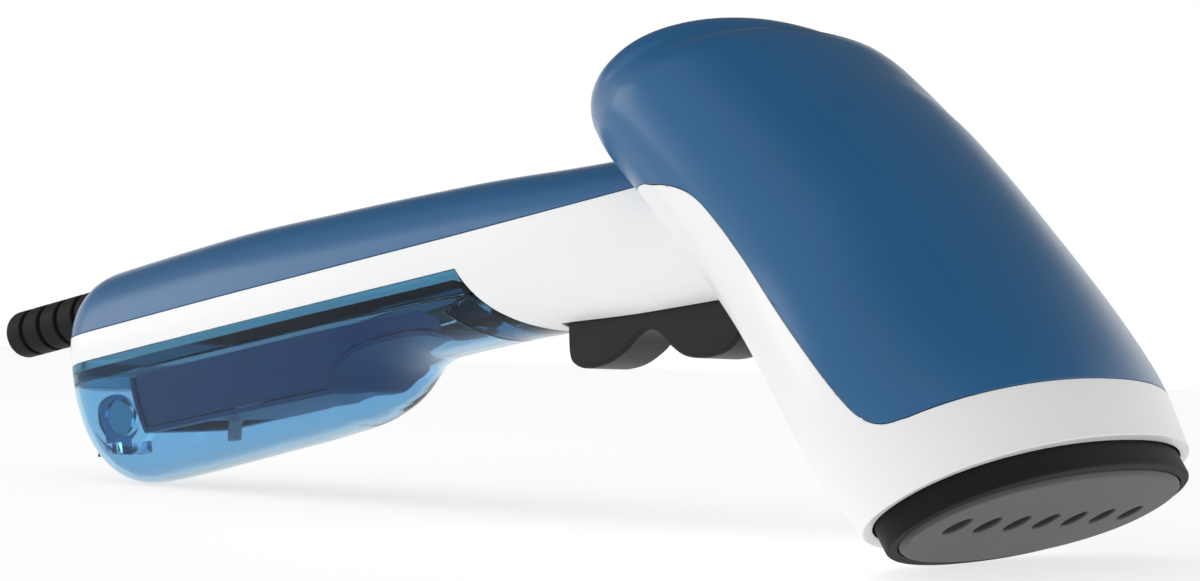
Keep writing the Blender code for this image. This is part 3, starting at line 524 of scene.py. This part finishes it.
def finished(target, slot, body, nodes=(), edge=0.14, angle=32):
    """Bakes the Booleans, puts the piece in the row's frame and gives it its looks."""
    bpy.context.view_layer.update()
    graph = bpy.context.evaluated_depsgraph_get()
    mesh = bpy.data.meshes.new_from_object(target.evaluated_get(graph))
    mesh.name = target.name
    mesh.materials.clear()
    mesh.materials.append(MATERIALS[slot])
    name = target.name
    target.name = name + "_raw"
    shape = bmesh.new()
    shape.from_mesh(mesh)
    bmesh.ops.remove_doubles(shape, verts=shape.verts, dist=SLIVER)
    bmesh.ops.dissolve_degenerate(shape, edges=shape.edges, dist=SLIVER)
    shape.to_mesh(mesh)
    shape.free()
    mesh.transform(PLACE)
    made = bpy.data.objects.new(name, mesh)
    PIECES.objects.link(made)
    mesh.shade_smooth()
    if edge:
        rim = made.modifiers.new("rim", "BEVEL")
        rim.width = edge * MM
        rim.segments = 2
        rim.limit_method = "ANGLE"
        rim.angle_limit = math.radians(50)
        rim.use_clamp_overlap = False
        rim.harden_normals = False
        rim.miter_outer = "MITER_SHARP"
    mesh.set_sharp_from_angle(angle=math.radians(angle))
    even = made.modifiers.new("even_normals", "WEIGHTED_NORMAL")
    even.keep_sharp = True
    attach(made, body)
    if nodes:
        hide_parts(*nodes)
    return made


# ----------------------------------------------------------- grip and its tank
def build_grip():
    far = 320
    inner = grip_loft("grip_inside", -WALL, start=-12.8)
    head_room = head_loft("head_room", GAP)
    top = grip_loft("grip_top_shell")
    keep(top, outline("top_region", [(-60, SHELL_SEAM + SEAM), (far, SHELL_SEAM + SEAM),
                                     (far, 80), (-60, 80)], -60, 60))
    cut(top, inner, rod("cord_hole", (-30, 0, CORD_V), (-1, 0, CORD_V), 5.2), head_room)
    finished(top, "blue_shell", "grip", ["handle_top"])

    body = grip_loft("grip_band_shell")
    scoop = offset_line(smooth_line(SCOOP), SEAM)
    region = ([(-60, SHELL_SEAM - SEAM), (-60, SEAM), (127.05, SEAM)] + scoop[1:]
              + [(scoop[-1][0], -60), (far, -60), (far, SHELL_SEAM - SEAM)])
    keep(body, outline("body_region", region, -60, 60))
    deep = offset_line(SCOOP, WALL + 0.2)
    hollow = ([(-60, 12), (-60, 2.2), (129.0, 2.2)] + deep[1:]
              + [(deep[-1][0] + 3, -60), (far, -60), (far, 12)])
    cavity = grip_loft("body_cavity", -WALL, start=-12.8)
    keep(cavity, outline("body_hollow_region", hollow, -60, 60))
    cut(body, cavity)
    for tag, u in (("rear", 28), ("front", 119)):
        join(body, rod(f"deck_pad_{tag}", (u, 0, 1.0), (u, 0, 4.55), 4.6))
        cut(body, rod(f"deck_bore_{tag}", (u, 0, -2), (u, 0, 8), 1.85),
            rod(f"deck_seat_{tag}", (u, 0, -2), (u, 0, 2.5), 3.5))
    cut(body, rod("inlet_hole", (120, 0, INLET_V), (146, 0, INLET_V), 3.5),
        box("trigger_slot", (147.2, -8.0, -40), (194.9, 8.0, -12.5)), head_room)
    finished(body, "white_shell", "grip", ["handle_body"])


def build_tank():
    scoop = offset_line(smooth_line(SCOOP), -SEAM)
    lid_low = offset_line(smooth_line(LID_LINE), 0.06)
    tub_top = offset_line(smooth_line(LID_LINE), -0.06)
    roof = grip_loft("tank_roof_shell")
    region = ([(-60, -SEAM), (126.9, -SEAM)] + scoop[1:]
              + [(scoop[-1][0], -60), (lid_low[-1][0], -60)] + lid_low[::-1])
    keep(roof, outline("roof_region", region, -60, 60))
    hollow = offset_line(SCOOP, -GAP / 2 - TANK_WALL)
    roof_cavity = grip_loft("roof_cavity", -TANK_WALL, start=-10.0)
    keep(roof_cavity, outline("roof_hollow", [(-60, -GAP / 2 - TANK_WALL),
                                              (125.0, -GAP / 2 - TANK_WALL)] + hollow[1:5]
                              + [(hollow[4][0], -60), (-60, -60)], -60, 60))
    cut(roof, roof_cavity, rod("outlet_bore", (110, 0, INLET_V), (140, 0, INLET_V), 3.3))
    finished(roof, "tank_dark", "tank", ["tank_roof"])

    tub = grip_loft("tank_tub_shell")
    keep(tub, outline("tub_region", tub_top + [(tub_top[-1][0], -60), (-60, -60)], -60, 60))
    tub_cavity = grip_loft("tub_cavity", -TANK_WALL, start=-10.0)
    keep(tub_cavity, box("tub_hollow", (-10, -60, -60), (127, 60, 20)))
    cut(tub, tub_cavity, box("rear_facet", (-60, -40, -60), (-12.0, 40, 20)))
    for side in (-1, 1):
        y = sorted((side * 4.2, side * 6.0))
        join(tub, box(f"cap_lug_{'left' if side > 0 else 'right'}",
                      (-15.2, y[0], -22.8), (-6.5, y[1], -19.7)))
    cut(tub, rod("cap_pin_bore", (-13.6, -8, -21.2), (-13.6, 8, -21.2), 1.05),
        rod("filler_hole", (-20, 0, CAP_V), (-5, 0, CAP_V), 5.0))
    finished(tub, "tank_clear", "tank", ["tank_tub"])

    arch = smooth_line([(80.0, -19.6), (83.0, -16.2), (87.0, -13.4), (92.0, -11.6),
                        (98.0, -10.6), (105.0, -10.4), (111.0, -11.0), (116.0, -12.8)], 4)
    baffle = outline("baffle_shell", [(15.0, -6.5), (16.2, -6.5), (16.2, -19.3), (79.0, -19.3)]
                     + offset_line(arch, 0.5)[1:] + offset_line(arch, -0.5)[::-1]
                     + [(79.4, -20.4), (15.0, -20.4)], -30, 30)
    cut(baffle, box("deck_opening", (17.6, -11, -24), (36.0, 11, -15)))
    keep(baffle, grip_loft("baffle_region", -TANK_WALL - GAP, start=-9.3))
    finished(baffle, "tank_navy", "tank", ["tank_baffle"], edge=0.15)
    # A navy sheet just inside the clear tub's walls, which the steamer doesn't have: painted shade
    # that darkens the inside of the tank seen through the walls.
    shade_sheet = grip_loft("tank_painted_shade", -TANK_WALL - 0.8, start=-9.0)
    wall = [(17.0, -6.2), (112.0, -6.2), (116.0, -8.4)] + offset_line(arch, 0.8)[::-1][2:] \
        + [(79.0, -18.9), (17.0, -18.9)]
    keep(shade_sheet, outline("shade_sheet_region", wall, -60, 60))
    cut(shade_sheet, grip_loft("shade_sheet_inside", -TANK_WALL - 1.2, start=-8.8))
    finished(shade_sheet, "tank_navy", "tank", edge=0.0)


def build_cord_entry():
    axis = ((0, 0, CORD_V), (1, 0, 0))
    outer = [(5.6, 4.2), (5.6, 1.6), (4.9, 1.6), (4.9, -13.6), (6.5, -13.6)]
    for groove in (-20.5, -28.0, -35.5, -43.0):
        outer += [(6.5, groove + 1.1), (6.3, groove + 0.8), (5.5, groove + 0.7),
                  (5.5, groove - 0.7), (6.3, groove - 0.8), (6.5, groove - 1.1)]
    relief = turned("strain_relief_ribbed", outer + [(6.5, -48.8), (6.3, -49.4), (5.8, -49.8),
                                                     (3.6, -49.8), (3.6, 4.2)], *axis, steps=96)
    for k, groove in enumerate((-20.5, -28.0, -35.5, -43.0)):
        for side in (-1, 1):
            near, far = sorted((side * 2.4, side * 9.0))
            low = (groove - 0.6, -4.3, near) if k % 2 else (groove - 0.6, near, -4.3)
            high = (groove + 0.6, 4.3, far) if k % 2 else (groove + 0.6, far, 4.3)
            cut(relief, box(f"relief_slot_{k}_{'a' if side > 0 else 'b'}",
                            (low[0], low[1], low[2] + CORD_V),
                            (high[0], high[1], high[2] + CORD_V)))
    finished(relief, "black_rubber", "grip", ["strain_relief"], edge=0.12)


def build_trigger():
    profile = [(149.0, -12.6), (148.2, -18.0), (147.9, -23.0), (149.2, -25.2), (152.5, -26.4),
               (158.0, -26.2), (163.0, -24.4), (167.5, -21.6), (170.5, -21.0), (172.8, -22.4),
               (175.2, -25.4), (178.5, -28.0), (183.5, -29.2), (189.0, -28.8), (193.0, -26.2),
               (194.2, -22.0), (193.4, -17.5), (190.4, -12.0), (188.4, -9.2), (182.6, -9.2),
               (179.4, -11.2), (160.0, -11.6)]
    lobes = smooth_line(profile[:17], 6)
    trigger = outline("trigger_rocker", lobes + profile[17:], -7.5, 7.5)
    join(trigger, box("trigger_post", (154.4, -2.0, -14), (158.0, 2.0, -8.9)))
    pivot_u, pivot_v = TRIGGER_PIVOT
    cut(trigger, rod("trigger_bore", (pivot_u, -12, pivot_v), (pivot_u, 12, pivot_v), 1.8),
        rod("trigger_spring_seat", (SPRING_U, 0, -13.6), (SPRING_U, 0, -5), 2.9))
    finished(trigger, "black_plastic", "trigger", ["trigger"], edge=0.9)


# ------------------------------------------------------------------- the head
def build_head():
    neck_hole = rod("neck_hole", (170, 0, NECK_V), (212, 0, NECK_V), 8.1)
    seam = smooth_line(COVER_SEAM)
    cover_line = offset_line(seam, SEAM)
    body_line = offset_line(seam, -SEAM)
    middle, across = head_axis(0.52)
    posts = {tag: middle + Vector((0, 22.0 * side, 0)) for side, tag in ((1, "left"), (-1, "right"))}

    cover = head_loft("head_cover_shell", relief=True)
    keep(cover, outline("cover_region", cover_line + [(320, 120), (150, 120)], -80, 80))
    cut(cover, head_loft("cover_cavity", -HEAD_WALL, shorter=2.3), neck_hole)
    finished(cover, "blue_shell", "grip", ["head_cover"])

    body = head_loft("head_band_shell")
    keep(body, outline("head_body_region", body_line + [(320, -120), (150, -120)], -80, 80))
    cut(body, head_loft("body_inside", -HEAD_WALL, shorter=2.3, past=6.0),
        plate_solid("gasket_pocket", [(-8.0, 2.9), (4.6, 2.9)]))
    for tag, at in posts.items():
        join(body, rod(f"body_boss_{tag}", at - across * 21.6, at - across * 17.2, 5.0))
        cut(body, rod(f"body_seat_{tag}", at - across * 30, at - across * 19.7, 3.6),
            rod(f"body_bore_{tag}", at - across * 30, at - across * 12, 1.85))
    cut(body, neck_hole, box("collar_recess", (23.6, -7.5, 14.6), (40.0, 7.5, 17.2), plate=True,
                             edge=1.2))
    finished(body, "white_shell", "grip", ["head_body"])


def build_sole():
    gasket = plate_solid("gasket_rim", [(-2.0, 1.9), (-1.8, 2.3), (-1.4, 2.5), (4.2, 2.5)])
    cut(gasket, plate_solid("gasket_opening", [(-9.0, GAP), (9.0, GAP)]))
    finished(gasket, "black_rubber", "grip", ["plate_gasket"], edge=0.0)
    sole = plate_solid("sole_plate", [(PLATE_FACE, -1.1), (PLATE_FACE + 0.08, -0.7),
                                      (PLATE_FACE + 0.3, -0.3), (PLATE_FACE + 0.7, -0.06),
                                      (PLATE_FACE + 1.1, 0), (1.4, 0)])
    for k in range(-3, 4):
        x, y = HOLE_ROW + 0.1 * k * k, HOLE_PITCH * k
        cut(sole, rod(f"steam_hole_{k + 4}", (x, y, -8), (x, y, 8), HOLE_RADIUS, plate=True))
    finished(sole, "sole_coating", "grip", ["steam_plate"], edge=0.3)


def dress_frame():
    """Procedural materials on the CAD pieces that stay."""
    slots = {entry["node"]: entry["material_slot"] for entry in frame["record"]["subparts"]}
    for node, shown in frame["nodes"].items():
        for material_slot in shown.material_slots:
            material_slot.material = MATERIALS[slots[node]]


# ---------------------------------------------------------- camera and light
def build_camera():
    camera = bpy.data.objects.new("camera", bpy.data.cameras.new("camera"))
    bpy.context.scene.collection.objects.link(camera)
    camera.data.sensor_width = 36.0
    camera.data.lens = CAMERA_LENS
    camera.data.clip_start = 0.01
    yaw, rise, roll = (math.radians(angle) for angle in CAMERA_TURN)
    back = Vector((math.sin(yaw) * math.cos(rise), -math.cos(yaw) * math.cos(rise),
                   math.sin(rise)))
    level = Vector((math.cos(yaw), math.sin(yaw), 0))
    upright = back.cross(level)
    right = level * math.cos(roll) + upright * math.sin(roll)
    above = back.cross(right)
    turn = Matrix((right, above, back)).transposed().to_4x4()
    camera.matrix_world = Matrix.Translation(CAMERA_PLACE) @ turn
    bpy.context.scene.camera = camera


def build_floor():
    """A pale floor that glows a little, so that only the contact shadows show on it."""
    shape = bmesh.new()
    bmesh.ops.create_grid(shape, x_segments=2, y_segments=2, size=FLOOR_HALF)
    mesh = bpy.data.meshes.new("floor")
    shape.to_mesh(mesh)
    shape.free()
    floor = bpy.data.objects.new("floor", mesh)
    bpy.context.scene.collection.objects.link(floor)
    floor.location.z = -FLOOR_DROP
    made, nodes, links = new_material("floor_white")
    shader = nodes["Principled BSDF"]
    links.new(colour_mix(nodes, links, noise(nodes, links, 3.0), (0.49, 0.49, 0.49),
                         (0.51, 0.51, 0.51)), shader.inputs["Base Color"])
    shader.inputs["Roughness"].default_value = 0.8
    shader.inputs["Specular IOR Level"].default_value = 0.0
    shader.inputs["Emission Color"].default_value = WHITE
    shader.inputs["Emission Strength"].default_value = FLOOR_GLOW
    mesh.materials.append(made)


def build_world():
    """A white backdrop for the camera, and a softer surround that lights the object."""
    world = bpy.data.worlds.new("studio")
    bpy.context.scene.world = world
    world.use_nodes = True
    nodes, links = world.node_tree.nodes, world.node_tree.links
    backdrop = nodes["Background"]
    backdrop.inputs["Color"].default_value = WHITE
    backdrop.inputs["Strength"].default_value = 1.0
    ambient = nodes.new("ShaderNodeBackground")
    ambient.inputs["Color"].default_value = WHITE
    towards = nodes.new("ShaderNodeTexCoord")

    def fade(along, near, far, first, last):
        """Strength over direction: first below near, last past far, along a vector."""
        share = nodes.new("ShaderNodeVectorMath")
        share.operation = "DOT_PRODUCT"
        share.inputs[1].default_value = Vector(along).normalized()
        links.new(towards.outputs["Generated"], share.inputs[0])
        spread = nodes.new("ShaderNodeMapRange")
        spread.interpolation_type = "SMOOTHSTEP"
        spread.inputs["From Min"].default_value = near
        spread.inputs["From Max"].default_value = far
        spread.inputs["To Min"].default_value = first
        spread.inputs["To Max"].default_value = last
        links.new(share.outputs["Value"], spread.inputs["Value"])
        return spread.outputs["Result"]

    # Bright all round but for the upper back, and bright again low all round.
    brighter = nodes.new("ShaderNodeMath")
    brighter.operation = "MAXIMUM"
    links.new(fade((-0.2, 0.75, 0.65), 0.1, 0.72, 0.88, 0.14), brighter.inputs[0])
    links.new(fade((0, 0, 1), 0.2, 0.46, 1.2, 0.0), brighter.inputs[1])
    links.new(brighter.outputs["Value"], ambient.inputs["Strength"])
    seen = nodes.new("ShaderNodeLightPath")
    either = nodes.new("ShaderNodeMixShader")
    links.new(seen.outputs["Is Camera Ray"], either.inputs["Fac"])
    links.new(ambient.outputs["Background"], either.inputs[1])
    links.new(backdrop.outputs["Background"], either.inputs[2])
    links.new(either.outputs["Shader"], nodes["World Output"].inputs["Surface"])
    bpy.context.scene.view_settings.view_transform = "Standard"


def build_lamp():
    """One soft box to the left, for the highlight down the near side of the head."""
    data = bpy.data.lights.new("left", "AREA")
    data.shape = "RECTANGLE"
    data.size, data.size_y = LAMP_SIZE
    data.energy = LAMP_POWER
    lamp = bpy.data.objects.new("left", data)
    bpy.context.scene.collection.objects.link(lamp)
    lamp.location = LAMP_PLACE
    aim = Vector(LAMP_AIM) - Vector(LAMP_PLACE)
    lamp.rotation_euler = aim.to_track_quat("-Z", "Y").to_euler()


build_camera()
build_floor()
build_world()
build_lamp()
build_grip()
build_tank()
build_cord_entry()
build_trigger()
build_head()
build_sole()
dress_frame()
for item in list(CUTTERS.objects):
    bpy.data.objects.remove(item)
bpy.data.collections.remove(CUTTERS)
